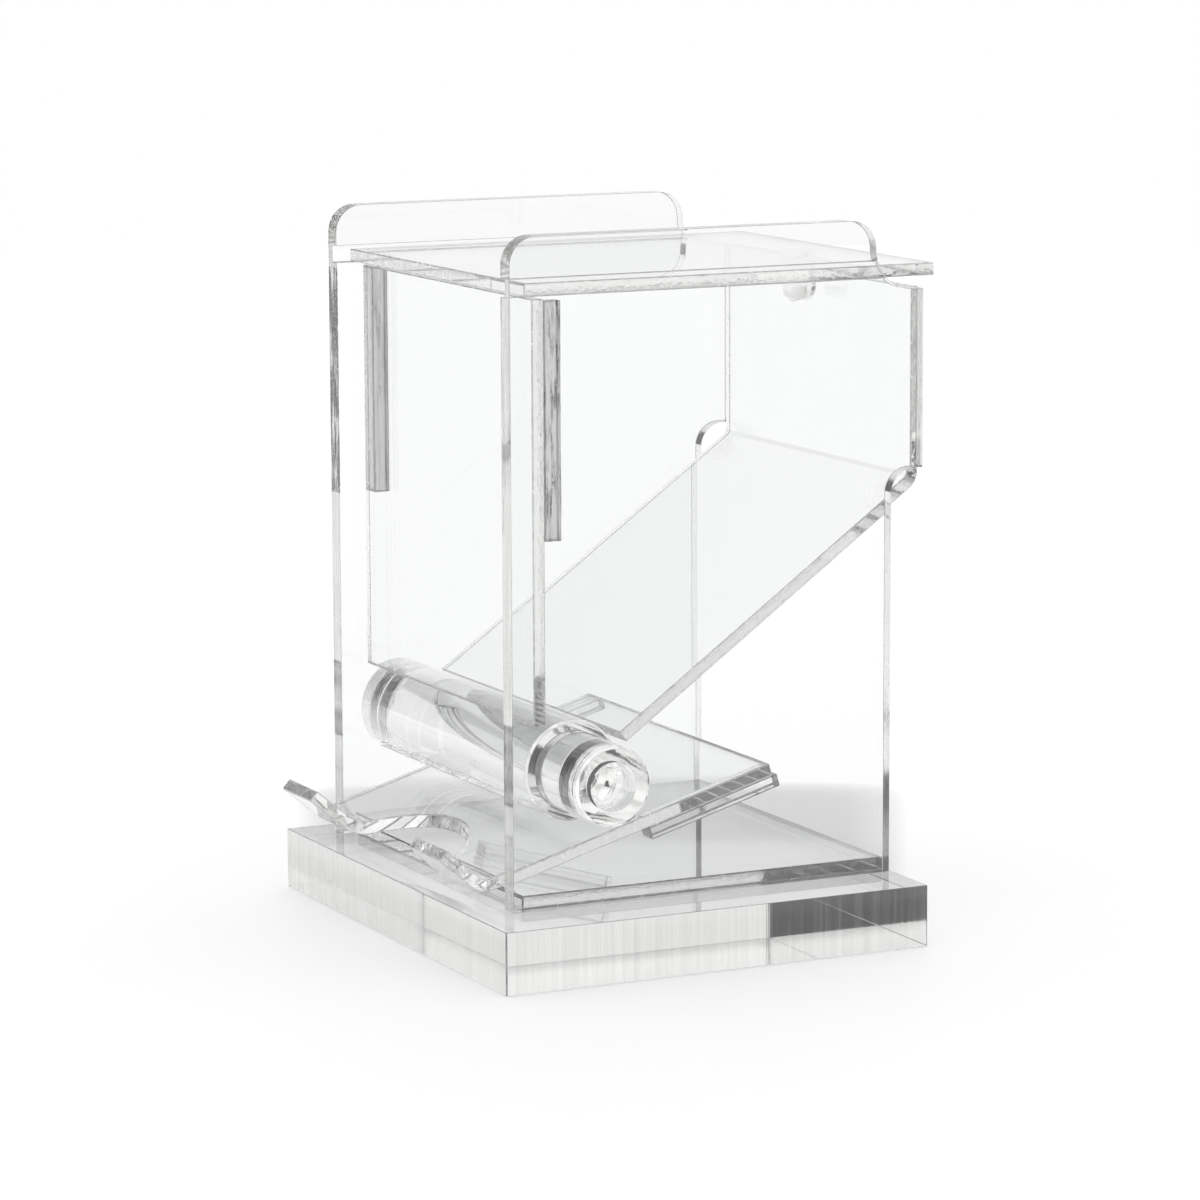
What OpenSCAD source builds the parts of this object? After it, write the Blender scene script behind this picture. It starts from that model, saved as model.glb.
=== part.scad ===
// Countertop stick dispenser in clear sheet: hopper, grooved roller with a knob, pick-up tray, sliding lid.
// Millimetres. +Z up, +X along the roller towards its knob, -Y towards the pick-up lip.
// Origin: centre of the base block's underside.

/* [Base] */
// Width of the base block along the roller
base_w = 106; // [96:1:120]
// Depth of the base block, front to back
base_d = 90; // [86:1:104]
// Thickness of the base block
base_t = 12; // [8:1:20]

/* [Side panels] */
// Thickness of each side panel
panel_t = 4; // [3:0.5:5]
// Clear width between the side panels
chamber_w = 77.6; // [70:0.1:80]
// Sideways offset of the chamber from the base centre, away from the knob
chamber_shift = 3.9; // [3:0.1:6]
// Setback of the panels behind the base's front face
panel_setback = 8.2; // [7:0.1:10]
// Depth of a panel's lower part
panel_d = 81.1; // [79:0.1:84]
// Overhang of a panel's upper part beyond its lower part
panel_overhang = 6.9; // [6:0.1:8]
// Height of the overhang's underside above the base block
under_h = 79.5; // [77:0.5:82]
// Height of the rear shoulder above the base block
shoulder_h = 114.3; // [112:0.1:115]
// Height of the ears above the base block
ear_h = 127.8; // [124:0.1:132]
// Setback of an ear's rear edge from the lower rear edge
ear_cut = 3.5; // [2:0.5:5]
// Radius of an ear's top corners
ear_r = 5.5; // [3:0.5:8]
// Radius of the inside corner below the overhang
under_r = 5; // [3:0.5:6]
// Radius of the inside corner behind an ear
shoulder_r = 8; // [6:0.5:10]

/* [Sheets] */
// Thickness of the lid, walls, floor and tray
sheet_t = 2.5; // [2:0.1:3]
// Cement gap left between two joined pieces
cement_gap = 0.05; // [0.02:0.01:0.1]

/* [Lid] */
// Length of the lid along its travel
lid_d = 88; // [86:0.5:90]
// Setback of the lid's front edge behind the panels' front edges
lid_setback = 3.7; // [2:0.1:5]
// Height of the lid grooves' floor above the base block
groove_z = 116.4; // [116:0.1:117]
// Height of the lid groove
groove_h = 3.4; // [3.2:0.1:3.8]
// Depth of the lid groove into each panel
groove_depth = 2; // [1:0.1:2]
// Play between a lid edge and its groove's bottom
lid_play = 0.3; // [0.2:0.05:0.5]
// Radius of the stop peg under the lid
stop_r = 3.35; // [2.5:0.05:4]
// Length of the stop peg
stop_h = 8.5; // [6:0.5:10]
// Gap between the stop peg and the back wall
stop_gap = 0.3; // [0.2:0.05:0.5]

/* [Hopper] */
// Distance of the front wall's face behind the panels' front edges
wall_setback = 5.7; // [5:0.1:6.5]
// Gap between the roller's drum and the front wall's lower edge
wipe_gap = 0.8; // [0.5:0.1:1]
// Gap between the front wall's upper edge and the lid grooves' floor
wall_top_gap = 0.6; // [0.4:0.1:1]
// Distance of the back wall's inner face behind the panels' lower rear edges
back_wall_y = 5.7; // [5:0.1:6]
// Slope of the hopper floor, degrees above horizontal
hopper_slope = 35.5; // [33:0.5:37]
// Height of the inside bend above the base block
hopper_bend_h = 77.4; // [76:0.1:78.5]
// Gap between the hopper floor's lower end and the drum
feed_gap = 2.2; // [1.5:0.1:3]
// Inside radius of the bend
hopper_bend_r = 1.5; // [1:0.1:3]
// Width of each rail behind the front wall
rail_w = 2.5; // [2:0.1:4]
// Depth of each rail
rail_d = 3.4; // [2:0.1:4]
// Length of each rail
rail_h = 45.4; // [40:0.1:46]
// Drop of each rail's upper end below the front wall's upper edge
rail_drop = 0.4; // [0:0.1:1]

/* [Tray] */
// Slope of the tray, degrees above horizontal
tray_slope = 16.2; // [15:0.1:17]
// Rise of the lip, degrees above horizontal
lip_rise = 41; // [36:1:46]
// Length of the lip from the bend
lip_len = 10; // [8:0.5:12]
// Setback of the tray's bend in front of the panels' front edges
tray_bend_out = 4.2; // [3.5:0.1:5]
// Height of the tray's upper surface at the bend above the base block
tray_bend_h = 6; // [5.8:0.1:7]
// Length of the tray behind its bend
tray_len = 62.6; // [58:0.1:64]
// Inside radius of the tray's bend
tray_bend_r = 2; // [1:0.1:3]
// Radius of the finger notch in the lip
notch_r = 24.5; // [20:0.5:27]
// Depth of the finger notch behind the bend
notch_reach = 10.9; // [8:0.1:12]
// Length of each cleat under the tray
cleat_len = 28.9; // [24:0.1:30]
// Width of each cleat
cleat_w = 4; // [3:0.5:6]
// Length of each cleat beyond the tray's upper end
cleat_out = 1; // [0:0.5:2]

/* [Roller] */
// Setback of the roller's axis behind the panels' front edges
axis_setback = 13.7; // [13.5:0.1:14]
// Height of the roller's axis above the base block
axis_h = 25.8; // [25.6:0.1:26.2]
// Radius of the drum between the panels
drum_r = 9.75; // [9:0.05:10]
// Radius of the knob and of both journals
knob_r = 7.7; // [7:0.05:8]
// Length of the knob beyond the panel
knob_len = 15; // [12:0.5:18]
// Radial clearance of a journal in its hole
journal_fit = 0.08; // [0.04:0.01:0.1]
// Gap between each end of the drum and its panel
drum_gap = 0.3; // [0.2:0.05:0.5]
// Radius of the recess in the knob's end
recess_r = 4.7; // [4:0.1:5.5]
// Depth of the straight part of the recess
recess_d = 2.6; // [1:0.1:5]
// Width of the stick groove along the drum
slot_w = 2.6; // [2.2:0.1:3]
// Depth of the stick groove
slot_d = 2.4; // [2:0.1:3]
// Direction of the groove at rest, degrees below the front
slot_aim = 46; // [30:1:60]
// Size of the turned edge breaks on the roller
edge_break = 0.5; // [0.2:0.1:0.8]

/* [Floor] */
// Setback of the floor plate behind the panels' front edges
floor_setback = 3; // [1:0.5:6]

/* [Hidden] */

round_fn = 96;
fine_fn = 192;
slot_fn = 48;
over = 1;
arc_steps = 16;
clear_sheet = [0.86, 0.89, 0.9, 0.45];
clear_rod = [0.8, 0.85, 0.9, 0.6];

chamber_x0 = -chamber_shift - chamber_w / 2;
chamber_x1 = -chamber_shift + chamber_w / 2;
inner_x0 = chamber_x0 + cement_gap;
inner_w = chamber_w - 2 * cement_gap;
panel_y0 = -base_d / 2 + panel_setback;
panel_y1 = panel_y0 + panel_d;
panel_y2 = panel_y1 + panel_overhang;
panel_z0 = base_t + cement_gap;
under_z = base_t + under_h;
shoulder_z = base_t + shoulder_h;
ear_z = base_t + ear_h;
ear_y = panel_y1 - ear_cut;
groove_z0 = base_t + groove_z;
axis_y = panel_y0 + axis_setback;
axis_z = base_t + axis_h;

wall_y0 = panel_y0 + wall_setback;
wall_y1 = wall_y0 + sheet_t;
wall_z0 = axis_z + sqrt(pow(drum_r + wipe_gap, 2) - pow(wall_y1 - axis_y, 2));
wall_z1 = groove_z0 - wall_top_gap;
rail_z0 = wall_z1 - rail_drop - rail_h;

back_y = panel_y1 + back_wall_y;
bend_z = base_t + hopper_bend_h;
hopper_reach = drum_r + feed_gap;

bend_y = panel_y0 - tray_bend_out;
tray_z = base_t + tray_bend_h;

// Quarter-round remover: a square corner of size r less the round of radius r, through the panel.
module corner_waste(y, z, dy, dz, r) {
    difference() {
        translate([-over, dy > 0 ? y : y - r - over, dz > 0 ? z : z - r - over])
            cube([panel_t + 2 * over, r + over, r + over]);
        translate([-2 * over, y, z])
            rotate([0, 90, 0])
                cylinder(r = r, h = panel_t + 4 * over, $fn = round_fn);
    }
}

// One side panel with its inner face at x = panel_t, built for the side away from the knob.
module side_panel() {
    difference() {
        translate([0, panel_y0, panel_z0])
            cube([panel_t, panel_y2 - panel_y0, ear_z - panel_z0]);
        // space behind the lower part, with a round inside corner
        translate([-over, panel_y1, panel_z0 - over])
            cube([panel_t + 2 * over, panel_overhang + over, under_z - under_r - panel_z0 + over]);
        translate([-over, panel_y1 + under_r, panel_z0 - over])
            cube([panel_t + 2 * over, panel_overhang + over, under_z - panel_z0 + over]);
        translate([-over, panel_y1 + under_r, under_z - under_r])
            rotate([0, 90, 0])
                cylinder(r = under_r, h = panel_t + 2 * over, $fn = round_fn);
        // space behind the ear, with a round inside corner
        translate([-over, ear_y, shoulder_z + shoulder_r])
            cube([panel_t + 2 * over, panel_y2, ear_z]);
        translate([-over, ear_y + shoulder_r, shoulder_z])
            cube([panel_t + 2 * over, panel_y2, ear_z]);
        translate([-over, ear_y + shoulder_r, shoulder_z + shoulder_r])
            rotate([0, 90, 0])
                cylinder(r = shoulder_r, h = panel_t + 2 * over, $fn = round_fn);
        // round top corners of the ear
        corner_waste(panel_y0 + ear_r, ear_z - ear_r, -1, 1, ear_r);
        corner_waste(ear_y - ear_r, ear_z - ear_r, 1, 1, ear_r);
        // lid groove in the inner face
        translate([panel_t - groove_depth, panel_y0 - over, groove_z0])
            cube([groove_depth + over, panel_y2 - panel_y0 + 2 * over, groove_h]);
        // journal hole
        translate([-over, axis_y, axis_z])
            rotate([0, 90, 0])
                cylinder(r = knob_r + journal_fit, h = panel_t + 2 * over, $fn = round_fn);
    }
}

function heading(angle) = [cos(angle), sin(angle)];

function arc_run(centre, radius, start, sweep) =
    [for (i = [0:arc_steps]) centre + radius * heading(start + sweep * i / arc_steps)];

// Outline in the YZ plane of a sheet with one bend at the corner of its inner faces. Leg A leaves the
// corner at heading a, leg B at heading b, and the sheet's thickness lies on the outer side of both.
function bent_outline(corner, a, len_a, b, len_b, r_in) =
    let (turn = 180 - (b - a),
         centre = corner + r_in * tan(turn / 2) * heading(a) + r_in * heading(a + 90),
         inner = arc_run(centre, r_in, a - 90, -turn),
         outer = arc_run(centre, r_in + sheet_t, a - 90 - turn, turn),
         end_a = corner + len_a * heading(a),
         end_b = corner + len_b * heading(b))
    concat([end_a], inner, [end_b, end_b + sheet_t * heading(b + 90)], outer,
           [end_a + sheet_t * heading(a - 90)]);

module bent_sheet(outline) {
    translate([inner_x0, 0, 0])
        rotate([90, 0, 90])
            linear_extrude(height = inner_w)
                polygon(outline);
}

module base_block() {
    color(clear_sheet)
        translate([-base_w / 2, -base_d / 2, 0])
            cube([base_w, base_d, base_t]);
}

module floor_plate() {
    color(clear_sheet)
        translate([inner_x0, panel_y0 + floor_setback, panel_z0])
            cube([inner_w, panel_d - floor_setback, sheet_t]);
}

module left_side_panel() {
    color(clear_sheet)
        translate([chamber_x0 - panel_t, 0, 0])
            side_panel();
}

module right_side_panel() {
    color(clear_sheet)
        translate([chamber_x1 + panel_t, 0, 0])
            mirror([1, 0, 0])
                side_panel();
}

module front_wall() {
    color(clear_sheet)
        translate([inner_x0, wall_y0, wall_z0])
            cube([inner_w, sheet_t, wall_z1 - wall_z0]);
}

module wall_rail(x) {
    color(clear_sheet)
        translate([x, wall_y1 + cement_gap, rail_z0])
            cube([rail_w, rail_d, rail_h]);
}

module left_wall_rail() {
    wall_rail(inner_x0);
}

module right_wall_rail() {
    wall_rail(inner_x0 + inner_w - rail_w);
}

// Back wall and hopper floor in one bent sheet.
module hopper_back() {
    color(clear_sheet)
        bent_sheet(bent_outline([back_y, bend_z], 90, shoulder_z - bend_z,
                                180 + hopper_slope, hopper_floor_length(), hopper_bend_r));
}

// Length of the hopper floor from its inside bend to the feed gap at the drum.
function hopper_floor_length() =
    let (dy = back_y - axis_y, dz = bend_z - axis_z,
         along = dy * cos(hopper_slope) + dz * sin(hopper_slope),
         off = dz * cos(hopper_slope) - dy * sin(hopper_slope))
    along - sqrt(pow(hopper_reach, 2) - pow(off, 2));

// Sloping tray with an upturned lip, and a round finger notch cut square to the middle of the bend.
module tray() {
    color(clear_sheet)
        difference() {
            bent_sheet(bent_outline([bend_y, tray_z], tray_slope, tray_len,
                                    180 - lip_rise, lip_len, tray_bend_r));
            translate([-chamber_shift, bend_y + notch_reach - notch_r, tray_z])
                rotate([(tray_slope - lip_rise) / 2, 0, 0])
                    translate([0, 0, -notch_r])
                        cylinder(r = notch_r, h = 2 * notch_r, $fn = fine_fn);
        }
}

module tray_cleat(x) {
    color(clear_sheet)
        translate([x, bend_y, tray_z])
            rotate([tray_slope, 0, 0])
                translate([0, tray_len - cleat_len + cleat_out, -2 * sheet_t - cement_gap])
                    cube([cleat_w, cleat_len, sheet_t]);
}

module left_tray_cleat() {
    tray_cleat(inner_x0);
}

module right_tray_cleat() {
    tray_cleat(inner_x0 + inner_w - cleat_w);
}

module lid() {
    side = groove_depth - lid_play;
    color(clear_sheet)
        translate([chamber_x0 - side, panel_y0 + lid_setback, groove_z0 + cement_gap])
            cube([chamber_w + 2 * side, lid_d, sheet_t]);
}

// Round-ended peg under the lid that meets the back wall when the lid is shut.
module lid_stop() {
    color(clear_rod)
        translate([-chamber_shift, back_y - stop_gap - stop_r, groove_z0 - stop_h])
            rotate_extrude($fn = round_fn)
                intersection() {
                    union() {
                        translate([0, stop_r])
                            circle(r = stop_r, $fn = round_fn);
                        translate([0, stop_r])
                            square([stop_r, stop_h - stop_r]);
                    }
                    square([stop_r, stop_h]);
                }
}

// Half outline of the turned rod, as [radius, position along X], from its far end over the drum and
// the knob, and down into the round-bottomed recess in the knob's face.
function rod_outline() =
    let (x0 = chamber_x0 - panel_t, d0 = chamber_x0 + drum_gap, d1 = chamber_x1 - drum_gap,
         x1 = chamber_x1 + panel_t + knob_len, e = edge_break)
    concat([[0, x0], [knob_r - e, x0], [knob_r, x0 + e], [knob_r, d0], [drum_r - e, d0],
            [drum_r, d0 + e], [drum_r, d1 - e], [drum_r - e, d1], [knob_r, d1], [knob_r, x1 - e],
            [knob_r - e, x1], [recess_r, x1]],
           arc_run([0, x1 - recess_d], recess_r, 0, -90));

// Grooved drum, both journals and the finger knob, turned from one rod.
module roller() {
    slot_r = slot_w / 2;
    color(clear_rod)
        difference() {
            translate([0, axis_y, axis_z])
                rotate([0, 90, 0])
                    rotate_extrude($fn = fine_fn)
                        polygon(rod_outline());
            // stick groove with a round bottom
            translate([chamber_x0, axis_y, axis_z])
                rotate([slot_aim, 0, 0]) {
                    translate([0, -drum_r + slot_d - slot_r, 0])
                        rotate([0, 90, 0])
                            cylinder(r = slot_r, h = chamber_w, $fn = slot_fn);
                    translate([0, -drum_r - over, -slot_r])
                        cube([chamber_w, slot_d - slot_r + over, slot_w]);
                }
        }
}

base_block();
floor_plate();
left_side_panel();
right_side_panel();
front_wall();
left_wall_rail();
right_wall_rail();
hopper_back();
tray();
left_tray_cleat();
right_tray_cleat();
lid();
lid_stop();
roller();
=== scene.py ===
import math

import bpy
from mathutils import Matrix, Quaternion, Vector


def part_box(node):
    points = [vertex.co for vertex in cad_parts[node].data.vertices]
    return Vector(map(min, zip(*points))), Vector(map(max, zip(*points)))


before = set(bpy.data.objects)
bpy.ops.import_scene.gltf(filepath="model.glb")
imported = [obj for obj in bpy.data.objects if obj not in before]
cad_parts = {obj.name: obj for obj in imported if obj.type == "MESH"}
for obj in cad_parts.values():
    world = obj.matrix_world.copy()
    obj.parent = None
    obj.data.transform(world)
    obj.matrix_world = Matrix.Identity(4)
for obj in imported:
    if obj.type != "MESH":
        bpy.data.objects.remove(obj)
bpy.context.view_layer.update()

MM = 0.001
X, Y, Z = range(3)

# Camera: direction, distance and lens of the view, in the frame's own axes
VIEW_AZIMUTH = 63.95
VIEW_ELEVATION = 9.25
VIEW_ROLL = 0.24
VIEW_DISTANCE = 0.966
VIEW_TARGET = Vector((0.0002, 0.0005, 0.0636))
LENS_MM = 146.9
SENSOR_MM = 36.0
CLIP_START = 0.05
CLIP_END = 20.0

# Acrylic
ACRYLIC_IOR = 1.49
FACE_TINT = (0.955, 0.961, 0.959, 1.0)
BLOCK_TINT = (0.99, 0.995, 0.992, 1.0)
EDGE_WARMTH = 0.985
ARRIS = 0.25 * MM
ARRIS_SEGMENTS = 2
ARRIS_CLEARNESS = 0.6
SMOOTH_ANGLE = math.radians(30)
WELD_REACH = 0.001 * MM

# Surface detail. A grain is noise in cycles per metre along X, Y and Z. A band is the two noise levels
# between which a tone, roughness or clearness changes.
WIDE_BAND = (0.3, 0.7)
MIDDLE_BAND = (0.35, 0.65)
ROUGH_BAND = (0.35, 0.75)
WEAR_BAND = (0.45, 0.8)
FACING_BAND = (0.6, 0.8)
RIPPLE_GRAIN = (22.0, 22.0, 22.0)
RIPPLE_DEPTH = 0.04 * MM
WEAR_GRAIN = (90.0, 90.0, 90.0)
FACE_ROUGHNESS = (0.0, 0.02)
SAWN_ROUGHNESS = (0.02, 0.16)
HAZE_SPREAD = (0.2, 1.8)
SCRAPE_GRAIN = (700.0, 700.0, 700.0)
SCRAPE_DEPTH = 0.05 * MM
SCRAPE_ROUGHNESS = (0.05, 0.3)
# Dark bevel tones: partly the grey of scraping, partly painted shade for the dark lines along clear
# edges
DARK_ARRIS = (0.03, 0.35)
# Paler bevel tones, given to the parts listed in pale_edged
PALE_ARRIS = (0.4, 0.9)
SAWN_BUMP = 0.6
RIPPLE_BUMP = 0.3
SCRAPE_BUMP = 0.5

# Cement between the side panels and the wall rails
CEMENT_GRAIN = (900.0, 900.0, 90.0)
CEMENT_BAND = (0.38, 0.52)
CEMENT_TONES = (0.05, 1.0)
BUBBLE_GRAIN = (2500.0, 2500.0, 1500.0)
BUBBLE_BAND = (0.58, 0.66)
BUBBLE_TONES = (0.0, 0.9)
CEMENT_CLEARNESS = 0.6
CEMENT_MARGIN = 0.2 * MM
# How much darker the streaks are on the strip along the far panel's front edge
EDGE_STRIP_DARKENING = 0.12

# The bore that the roller's knob end turns in, whose dark grey rings are partly drill marks and partly
# painted shade
BORE_RADIUS = 7.85 * MM
BORE_GRAIN = (3000.0, 300.0, 300.0)
BORE_TONES = (0.05, 0.6)
BORE_CLEARNESS = 0.7

# Studio light: strength of the sky at each height of the direction looked in, from -1 down to 1 up
SKY = (
    (-1.0, 1.0),
    (0.04, 1.0),
    (0.14, 0.9),
    (0.45, 0.78),
    (0.75, 1.3),
    (1.0, 1.3),
)
WHITE = (1.0, 1.0, 1.0, 1.0)
LIGHT_BOUNCES = 96
CLEAR_BOUNCES = 32

# Floor: white, glowing a little to partly fill in the object's contact shadow, with a grey patch of
# painted shadow behind the object, and painted light cut out of the patch where the base block hides
# the floor from the camera
FLOOR_RADIUS = 1.5
FLOOR_SIDES = 128
FLOOR_GAP = 0.2 * MM
FLOOR_TONES = (0.66, 0.45)
FLOOR_GLOW = (0.0, 0.52)
FLOOR_GRAIN = (60.0, 60.0, 60.0)
FLOOR_MOTTLE = (0.985, 1.0)
FLOOR_ROUGHNESS = 0.6
FLOOR_SPECULAR = 0.2
SHADE_CENTRE = 0.075
SHADE_REACH = 0.055
SHADE_OFFSET = 0.0008
SHADE_WIDTH = 0.0545
SHADE_POWER = 8.0
SHADE_EDGE = (0.3, 2.4)
# Painted light: how far beyond the base block, away from the camera, the patch is cut out
PALE_REACH = 52.0 * MM
PALE_EDGE = 0.8

# Black cards, out of the camera's sight, that give clear edges their dark lines
CARD_DISTANCE = 1.6
CARD_GRAIN = (8.0, 8.0, 8.0)
CARD_BAND = (0.2, 0.8)
CARD_TONES = (0.05, 0.08)
CARD_ROUGHNESS = 0.9


def direction(azimuth, elevation):
    """The unit vector from the object towards a place at that azimuth and elevation, in degrees."""
    a = math.radians(azimuth)
    e = math.radians(elevation)
    return Vector((math.sin(a) * math.cos(e), -math.cos(a) * math.cos(e), math.sin(e)))


# ---------------------------------------------------------------- node helpers


def new_material(name):
    """An empty node material and its Principled shader."""
    material = bpy.data.materials.new(name)
    material.use_nodes = True
    nodes = material.node_tree.nodes
    nodes.clear()
    output = nodes.new("ShaderNodeOutputMaterial")
    shader = nodes.new("ShaderNodeBsdfPrincipled")
    material.node_tree.links.new(shader.outputs["BSDF"], output.inputs["Surface"])
    return material, shader


def add(tree, kind, inputs=None, **settings):
    """A new node with its settings and its inputs, which are values or other nodes' outputs."""
    node = tree.nodes.new(kind)
    for key, value in settings.items():
        setattr(node, key, value)
    for key, value in (inputs or {}).items():
        if isinstance(value, bpy.types.NodeSocket):
            tree.links.new(value, node.inputs[key])
        else:
            node.inputs[key].default_value = value
    return node


def math_node(tree, operation, first, second=0.0):
    return add(tree, "ShaderNodeMath", {0: first, 1: second}, operation=operation).outputs[0]


def multiply(tree, first, second):
    return math_node(tree, "MULTIPLY", first, second)


def ramp(tree, value, band, results):
    """The first result below the band, the second above it, and a straight line between."""
    limits = {"From Min": band[0], "From Max": band[1], "To Min": results[0], "To Max": results[1]}
    return add(tree, "ShaderNodeMapRange", {"Value": value, **limits}).outputs[0]


def grey(tree, tone):
    return add(tree, "ShaderNodeCombineColor", {0: tone, 1: tone, 2: tone}).outputs[0]


def blend(tree, factor, first, second):
    """The first colour where the factor is 0, and the second where it is 1."""
    return add(
        tree, "ShaderNodeMix", {"Factor": factor, 6: first, 7: second}, data_type="RGBA"
    ).outputs[2]


def object_place(tree):
    return add(tree, "ShaderNodeTexCoord").outputs["Object"]


def split(tree, vector):
    """The vector's three parts."""
    return add(tree, "ShaderNodeSeparateXYZ", {0: vector}).outputs


def stretched_noise(tree, grain, detail=3.0, roughness=0.55):
    """Noise over the object's own coordinates, stretched along each axis by its grain."""
    place = object_place(tree)
    mapped = add(tree, "ShaderNodeMapping", {"Vector": place, "Scale": grain}).outputs[0]
    noise = add(
        tree,
        "ShaderNodeTexNoise",
        {"Vector": mapped, "Scale": 1.0, "Detail": detail, "Roughness": roughness},
    )
    return noise.outputs[0]


def bump(tree, height, strength, depth, below=None):
    """A surface normal shaped by the height, over another bump's normal where one is given."""
    inputs = {"Height": height, "Strength": strength, "Distance": depth}
    if below:
        inputs["Normal"] = below
    return add(tree, "ShaderNodeBump", inputs).outputs[0]


def face_mask(tree, axis):
    """1 where the surface faces along that axis, and 0 elsewhere."""
    normal = add(tree, "ShaderNodeTexCoord").outputs["Normal"]
    size = math_node(tree, "ABSOLUTE", split(tree, normal)[axis])
    return ramp(tree, size, FACING_BAND, (0.0, 1.0))


def only(axis):
    """A mask for the faces that look along that axis."""

    def mask(tree):
        return face_mask(tree, axis)

    return mask


def all_but(axis):
    """A mask for every face that doesn't look along that axis."""

    def mask(tree):
        return math_node(tree, "SUBTRACT", 1.0, face_mask(tree, axis))

    return mask


def inside_box(tree, low, high):
    """1 inside the box, which is in the object's own coordinates, and 0 outside."""
    parts = split(tree, object_place(tree))
    inside = 1.0
    for axis in (X, Y, Z):
        middle = (low[axis] + high[axis]) / 2
        half = (high[axis] - low[axis]) / 2
        near = add(
            tree,
            "ShaderNodeMath",
            {0: parts[axis], 1: middle, 2: half},
            operation="COMPARE",
        )
        inside = multiply(tree, near.outputs[0], inside)
    return inside


# ------------------------------------------------------------------- materials


def cement(tree, colour, clear, low, high, darkening):
    """The colour and clearness with bubbly cement streaks laid over them inside that box, and more of
    them dark the larger the darkening given."""
    inside = inside_box(tree, low, high)
    streaks = stretched_noise(tree, CEMENT_GRAIN, detail=4.0, roughness=0.7)
    bubbles = stretched_noise(tree, BUBBLE_GRAIN, detail=2.0)
    band = [level + darkening for level in CEMENT_BAND]
    tone = ramp(tree, streaks, band, CEMENT_TONES)
    spots = ramp(tree, bubbles, BUBBLE_BAND, BUBBLE_TONES)
    tone = math_node(tree, "MAXIMUM", tone, spots)
    stained = ramp(tree, inside, (0.0, 1.0), (1.0, CEMENT_CLEARNESS))
    return blend(tree, inside, colour, grey(tree, tone)), multiply(tree, clear, stained)


def drilled(tree, colour, clear, centre, radius):
    """The colour and clearness with the grey wall of a bore along X, rough on the knob's side only.
    Its dark rings are partly drill marks and partly painted shade for the dark crescent in the knob's
    hole.
    """
    place = object_place(tree)
    flat = add(
        tree, "ShaderNodeVectorMath", {0: place, 1: (0.0, 1.0, 1.0)}, operation="MULTIPLY"
    ).outputs[0]
    middle = (0.0, centre.y, centre.z)
    away = add(
        tree, "ShaderNodeVectorMath", {0: flat, 1: middle}, operation="DISTANCE"
    ).outputs["Value"]
    knob_side = math_node(tree, "GREATER_THAN", split(tree, place)[X], 0.0)
    inside = multiply(tree, math_node(tree, "LESS_THAN", away, radius), knob_side)
    # Dark rings: partly drill marks, partly painted shade
    drill_rings_and_shade = ramp(tree, stretched_noise(tree, BORE_GRAIN), MIDDLE_BAND, BORE_TONES)
    frosted = ramp(tree, inside, (0.0, 1.0), (1.0, BORE_CLEARNESS))
    return blend(tree, inside, colour, grey(tree, drill_rings_and_shade)), multiply(tree, clear, frosted)


def clear_acrylic(
    name,
    sawn,
    grain,
    tones,
    haze,
    depth=0.06 * MM,
    polish=0.0,
    bonded=(),
    bore=None,
    tint=FACE_TINT,
):
    """Cast acrylic: polished faces with a faint ripple, sawn edges with streaks where the mask says,
    the cement that shows inside each bonded box, and a drilled bore's grey wall, whose dark rings are
    partly painted shade."""
    material, shader = new_material(name)
    tree = material.node_tree
    shader.inputs["IOR"].default_value = ACRYLIC_IOR
    mask = sawn(tree)
    fine = stretched_noise(tree, grain)
    ripple = stretched_noise(tree, RIPPLE_GRAIN, detail=1.0)
    wear = stretched_noise(tree, WEAR_GRAIN, detail=4.0)

    tone = ramp(tree, fine, WIDE_BAND, tones)
    warm = multiply(tree, tone, EDGE_WARMTH)
    edge_tint = add(tree, "ShaderNodeCombineColor", {0: tone, 1: tone, 2: warm}).outputs[0]
    colour = blend(tree, mask, tint, edge_tint)
    cloudy = multiply(tree, mask, ramp(tree, fine, MIDDLE_BAND, HAZE_SPREAD))
    clear = math_node(tree, "SUBTRACT", 1.0, multiply(tree, cloudy, haze))
    for low, high, darkening in bonded:
        colour, clear = cement(tree, colour, clear, low, high, darkening)
    if bore:
        colour, clear = drilled(tree, colour, clear, *bore)
    tree.links.new(colour, shader.inputs["Base Color"])
    tree.links.new(clear, shader.inputs["Transmission Weight"])

    sawn_roughness = [level * (1.0 - polish) for level in SAWN_ROUGHNESS]
    edge_rough = ramp(tree, fine, ROUGH_BAND, sawn_roughness)
    face_rough = ramp(tree, wear, WEAR_BAND, FACE_ROUGHNESS)
    rough = add(tree, "ShaderNodeMix", {"Factor": mask, "A": face_rough, "B": edge_rough})
    tree.links.new(rough.outputs[0], shader.inputs["Roughness"])

    sawn_bump = bump(tree, multiply(tree, fine, mask), SAWN_BUMP, depth)
    rippled = bump(tree, ripple, RIPPLE_BUMP, RIPPLE_DEPTH, sawn_bump)
    tree.links.new(rippled, shader.inputs["Normal"])
    return material


def arris_material(name, tones):
    """The narrow bevel left by scraping along every sawn edge: clear, but rougher and greyer than the
    faces. Its dark tones are partly painted shade, for the dark lines along clear edges.
    """
    material, shader = new_material(name)
    tree = material.node_tree
    shader.inputs["Transmission Weight"].default_value = ARRIS_CLEARNESS
    shader.inputs["IOR"].default_value = ACRYLIC_IOR
    scrape = stretched_noise(tree, SCRAPE_GRAIN, detail=4.0)
    tree.links.new(grey(tree, ramp(tree, scrape, WIDE_BAND, tones)), shader.inputs["Base Color"])
    tree.links.new(ramp(tree, scrape, WIDE_BAND, SCRAPE_ROUGHNESS), shader.inputs["Roughness"])
    tree.links.new(bump(tree, scrape, SCRAPE_BUMP, SCRAPE_DEPTH), shader.inputs["Normal"])
    return material


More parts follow.
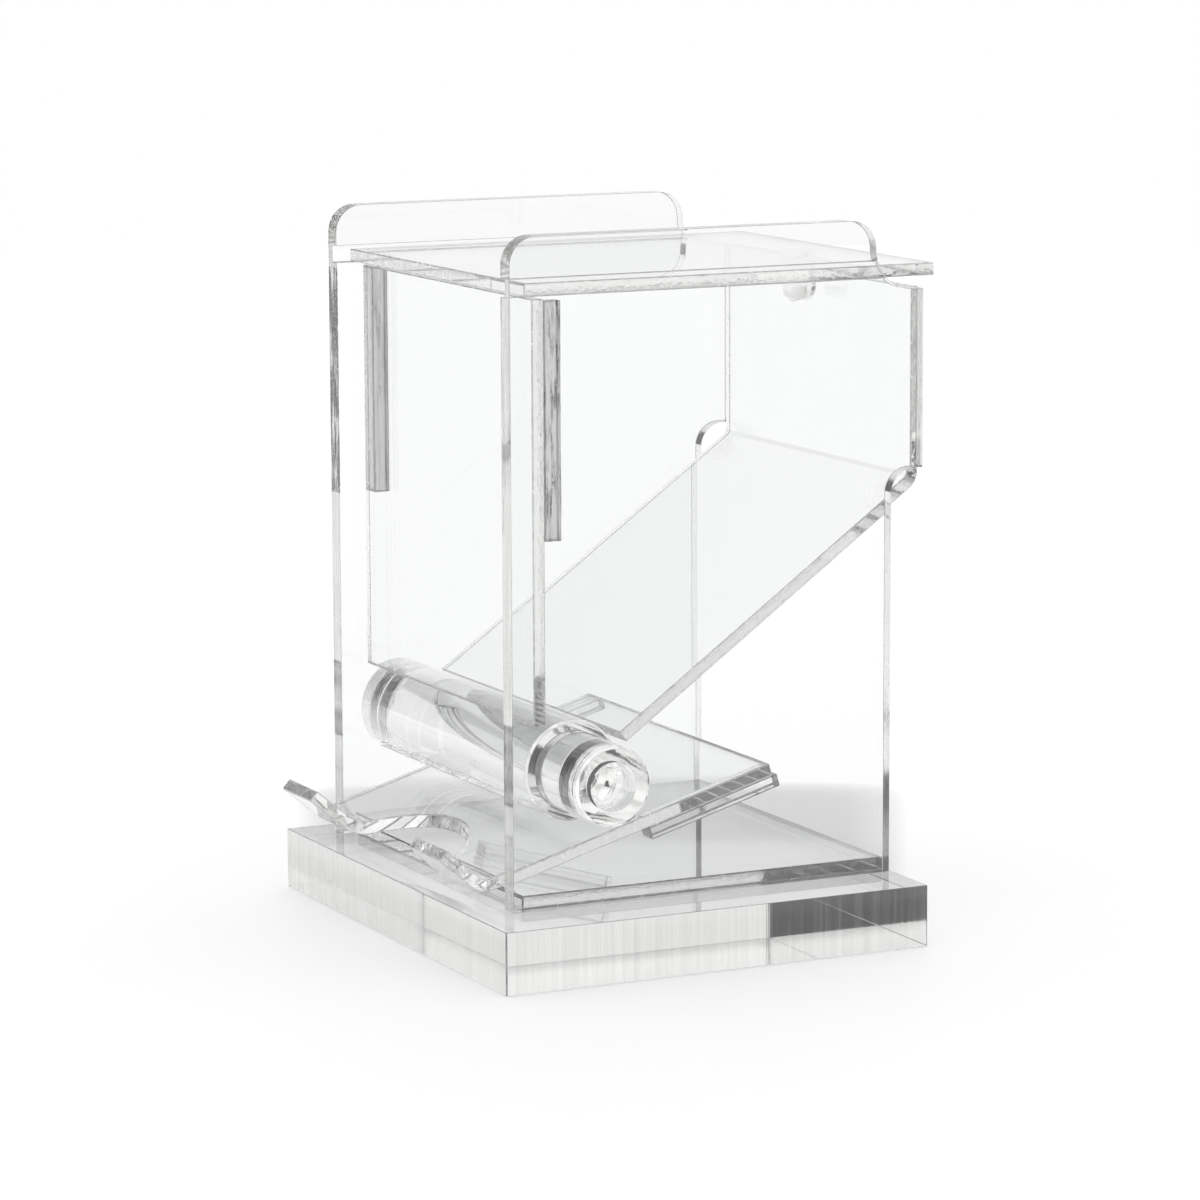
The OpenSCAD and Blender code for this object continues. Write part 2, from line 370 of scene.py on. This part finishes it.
def painted_shadow_patch(tree):
    """A value that grows from 0 in the middle of the grey patch of painted shadow behind the object,
    seen from the camera's side, and passes the patch's edge on every side of it."""
    turn = (0.0, 0.0, math.radians(-VIEW_AZIMUTH))
    place = object_place(tree)
    turned = add(tree, "ShaderNodeMapping", {"Vector": place, "Rotation": turn}).outputs[0]
    right, back, _ = split(tree, turned)
    spread = ramp(tree, back, (0.0, VIEW_DISTANCE), (SHADE_WIDTH, 2.0 * SHADE_WIDTH))
    across = math_node(tree, "DIVIDE", math_node(tree, "SUBTRACT", right, SHADE_OFFSET), spread)
    along = math_node(tree, "DIVIDE", math_node(tree, "SUBTRACT", back, SHADE_CENTRE), SHADE_REACH)
    across, along = (
        math_node(tree, "POWER", math_node(tree, "ABSOLUTE", part), SHADE_POWER)
        for part in (across, along)
    )
    return math_node(tree, "ADD", across, along)


def painted_light_behind_block(tree):
    """Above 0 on the floor just behind the base block, which only the block's own edges show. This
    pale area is
    painted light: kept pale, it keeps the grey patch of painted shadow out of those edges."""
    low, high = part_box("base_block")
    far = direction(VIEW_AZIMUTH, 0.0) * -PALE_REACH
    near = far * PALE_EDGE
    x, y, _ = split(tree, object_place(tree))
    left = ramp(tree, x, (low.x + far.x, low.x + near.x), (0.0, 1.0))
    right = ramp(tree, x, (high.x + far.x, high.x + near.x), (1.0, 0.0))
    rear = ramp(tree, y, (high.y + far.y, high.y + near.y), (0.0, 1.0))
    under = inside_box(tree, low - Vector((0, 0, MM)), high)
    beyond = math_node(tree, "SUBTRACT", 1.0, under)
    for side in (left, right, rear):
        beyond = multiply(tree, beyond, side)
    return multiply(tree, beyond, SHADE_EDGE[1])


def floor_material():
    """White and glowing a little, which partly fills in the object's contact shadow, with a dimmer
    pale grey patch of painted shadow behind the object.
    """
    material, shader = new_material("studio_floor")
    tree = material.node_tree
    # Painted shadow behind the object, with painted light cut out of it behind the base block
    reach = math_node(tree, "ADD", painted_shadow_patch(tree), painted_light_behind_block(tree))
    tree.links.new(ramp(tree, reach, SHADE_EDGE, FLOOR_GLOW), shader.inputs["Emission Strength"])
    shader.inputs["Emission Color"].default_value = WHITE
    grain = ramp(tree, stretched_noise(tree, FLOOR_GRAIN), (0.0, 1.0), FLOOR_MOTTLE)
    shade = multiply(tree, ramp(tree, reach, SHADE_EDGE, FLOOR_TONES), grain)
    tree.links.new(grey(tree, shade), shader.inputs["Base Color"])
    shader.inputs["Roughness"].default_value = FLOOR_ROUGHNESS
    shader.inputs["Specular IOR Level"].default_value = FLOOR_SPECULAR
    return material


def card_material():
    material, shader = new_material("black_card")
    tree = material.node_tree
    shade = ramp(tree, stretched_noise(tree, CARD_GRAIN), CARD_BAND, CARD_TONES)
    tree.links.new(grey(tree, shade), shader.inputs["Base Color"])
    shader.inputs["Roughness"].default_value = CARD_ROUGHNESS
    return material


# ---------------------------------------------------------------------- object


def finish_edges(node):
    """Sharp CAD edges get the small arris that a real sawn sheet has."""
    mesh = node.data
    if mesh.has_custom_normals:
        bpy.context.view_layer.objects.active = node
        bpy.ops.mesh.customdata_custom_splitnormals_clear()
    mesh.shade_smooth()
    weld = node.modifiers.new("weld", "WELD")
    weld.merge_threshold = WELD_REACH
    bevel = node.modifiers.new("arris", "BEVEL")
    bevel.width = ARRIS
    bevel.segments = ARRIS_SEGMENTS
    bevel.limit_method = "ANGLE"
    bevel.angle_limit = SMOOTH_ANGLE
    bevel.harden_normals = True
    bevel.material = 1


def cement_boxes():
    """Where cement streaks show on the side panels, and how dark they are: behind both rails, and on a
    darker strip along the far panel's front edge at the rails' height."""
    rails = [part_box("left_wall_rail"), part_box("right_wall_rail")]
    margin = Vector((CEMENT_MARGIN, 0.0, 0.0))
    boxes = [(low - margin, high + margin, 0.0) for low, high in rails]
    panel_low, panel_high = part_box("left_side_panel")
    rail_low, rail_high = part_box("left_wall_rail")
    strip_low = Vector((panel_low.x, panel_low.y - CEMENT_MARGIN, rail_low.z))
    strip_high = Vector((panel_high.x, panel_low.y + CEMENT_MARGIN, rail_high.z))
    boxes.append((strip_low, strip_high, EDGE_STRIP_DARKENING))
    return boxes


def bore_place():
    """The middle of the roller's axis, and a radius just outside the holes it turns in."""
    low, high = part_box("roller")
    return (low + high) / 2, BORE_RADIUS


def block_material():
    return clear_acrylic(
        "acrylic_block",
        sawn=all_but(Z),
        grain=(1500.0, 1500.0, 15.0),
        tones=(0.8, 1.0),
        haze=0.03,
        depth=0.02 * MM,
        polish=0.5,
        tint=BLOCK_TINT,
    )


def panel_material():
    return clear_acrylic(
        "acrylic_panel",
        sawn=all_but(X),
        grain=(1500.0, 500.0, 60.0),
        tones=(0.65, 1.0),
        haze=0.12,
        bonded=cement_boxes(),
        bore=bore_place(),
    )


def sheet_material():
    return clear_acrylic(
        "acrylic_sheet",
        sawn=only(X),
        grain=(200.0, 900.0, 900.0),
        tones=(0.88, 1.0),
        haze=0.03,
    )


def smooth_edge_material():
    return clear_acrylic(
        "acrylic_smooth_edge",
        sawn=only(X),
        grain=(200.0, 900.0, 900.0),
        tones=(0.97, 1.0),
        haze=0.06,
        depth=0.01 * MM,
        polish=0.8,
    )


def rail_material():
    return clear_acrylic(
        "acrylic_rail",
        sawn=all_but(Z),
        grain=(1400.0, 1400.0, 60.0),
        tones=(0.5, 1.0),
        haze=0.08,
        depth=0.2 * MM,
    )


def rod_material():
    return clear_acrylic(
        "acrylic_rod",
        sawn=only(X),
        grain=(900.0, 900.0, 900.0),
        tones=(0.9, 1.0),
        haze=0.02,
        tint=BLOCK_TINT,
    )


def dress_object():
    panel, sheet, smooth_edge = panel_material(), sheet_material(), smooth_edge_material()
    rail, rod = rail_material(), rod_material()
    finish = {
        "base_block": block_material(),
        "left_side_panel": panel,
        "right_side_panel": panel,
        "left_wall_rail": rail,
        "right_wall_rail": rail,
        "roller": rod,
        "lid_stop": rod,
        "tray": smooth_edge,
        "left_tray_cleat": smooth_edge,
        "right_tray_cleat": smooth_edge,
    }
    # The dark bevel is partly painted shade
    scraped_and_shaded = arris_material("acrylic_arris", DARK_ARRIS)
    pale = arris_material("acrylic_arris_pale", PALE_ARRIS)
    # These parts get the paler bevel
    pale_edged = ("hopper_back", "front_wall", "tray", "roller", "lid", "lid_stop")
    for name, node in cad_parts.items():
        node.data.materials.clear()
        node.data.materials.append(finish.get(name, sheet))
        node.data.materials.append(pale if name in pale_edged else scraped_and_shaded)
        finish_edges(node)


# ---------------------------------------------------------------------- studio


def build_floor():
    bpy.ops.mesh.primitive_circle_add(vertices=FLOOR_SIDES, radius=FLOOR_RADIUS, fill_type="NGON")
    floor = bpy.context.object
    floor.name = "studio_floor"
    floor.location.z = -FLOOR_GAP
    floor.data.materials.append(floor_material())


def build_card(name, azimuth, width, low, high, material):
    """A black card standing upright at that azimuth, that only reflections and refractions show."""
    bpy.ops.mesh.primitive_plane_add(size=1.0)
    card = bpy.context.object
    card.name = name
    place = direction(azimuth, 0.0) * CARD_DISTANCE
    card.location = (place.x, place.y, (low + high) / 2)
    card.scale = (width, high - low, 1.0)
    card.rotation_euler = (math.radians(90), 0.0, math.radians(azimuth))
    card.visible_camera = False
    card.visible_diffuse = False
    card.data.materials.append(material)


def build_sky():
    """A white world whose strength follows the SKY table."""
    world = bpy.data.worlds.new("studio")
    bpy.context.scene.world = world
    world.use_nodes = True
    tree = world.node_tree
    background = tree.nodes["Background"]
    background.inputs["Color"].default_value = WHITE
    towards = add(tree, "ShaderNodeTexCoord").outputs["Generated"]
    height = split(tree, towards)[Z]
    strength = SKY[0][1]
    for (low, before), (high, after) in zip(SKY, SKY[1:]):
        step = ramp(tree, height, (low, high), (0.0, after - before))
        strength = math_node(tree, "ADD", strength, step)
    tree.links.new(strength, background.inputs["Strength"])


def build_studio():
    build_floor()
    card = card_material()
    build_card("card_near_side", -VIEW_AZIMUTH, width=1.1, low=0.03, high=0.8, material=card)
    build_card("card_camera", VIEW_AZIMUTH, width=0.5, low=0.08, high=0.6, material=card)
    build_sky()
    scene = bpy.context.scene
    scene.view_settings.view_transform = "Standard"
    scene.cycles.max_bounces = LIGHT_BOUNCES
    scene.cycles.transmission_bounces = LIGHT_BOUNCES
    scene.cycles.glossy_bounces = LIGHT_BOUNCES
    scene.cycles.transparent_max_bounces = CLEAR_BOUNCES


def build_camera():
    data = bpy.data.cameras.new("camera")
    data.lens = LENS_MM
    data.sensor_width = SENSOR_MM
    data.clip_start = CLIP_START
    data.clip_end = CLIP_END
    camera = bpy.data.objects.new("camera", data)
    bpy.context.scene.collection.objects.link(camera)
    back = direction(VIEW_AZIMUTH, VIEW_ELEVATION)
    camera.location = VIEW_TARGET + back * VIEW_DISTANCE
    camera.rotation_mode = "QUATERNION"
    turn = (-back).to_track_quat("-Z", "Y")
    roll = Quaternion((0.0, 0.0, 1.0), math.radians(-VIEW_ROLL))
    camera.rotation_quaternion = turn @ roll
    bpy.context.scene.camera = camera


dress_object()
build_studio()
build_camera()
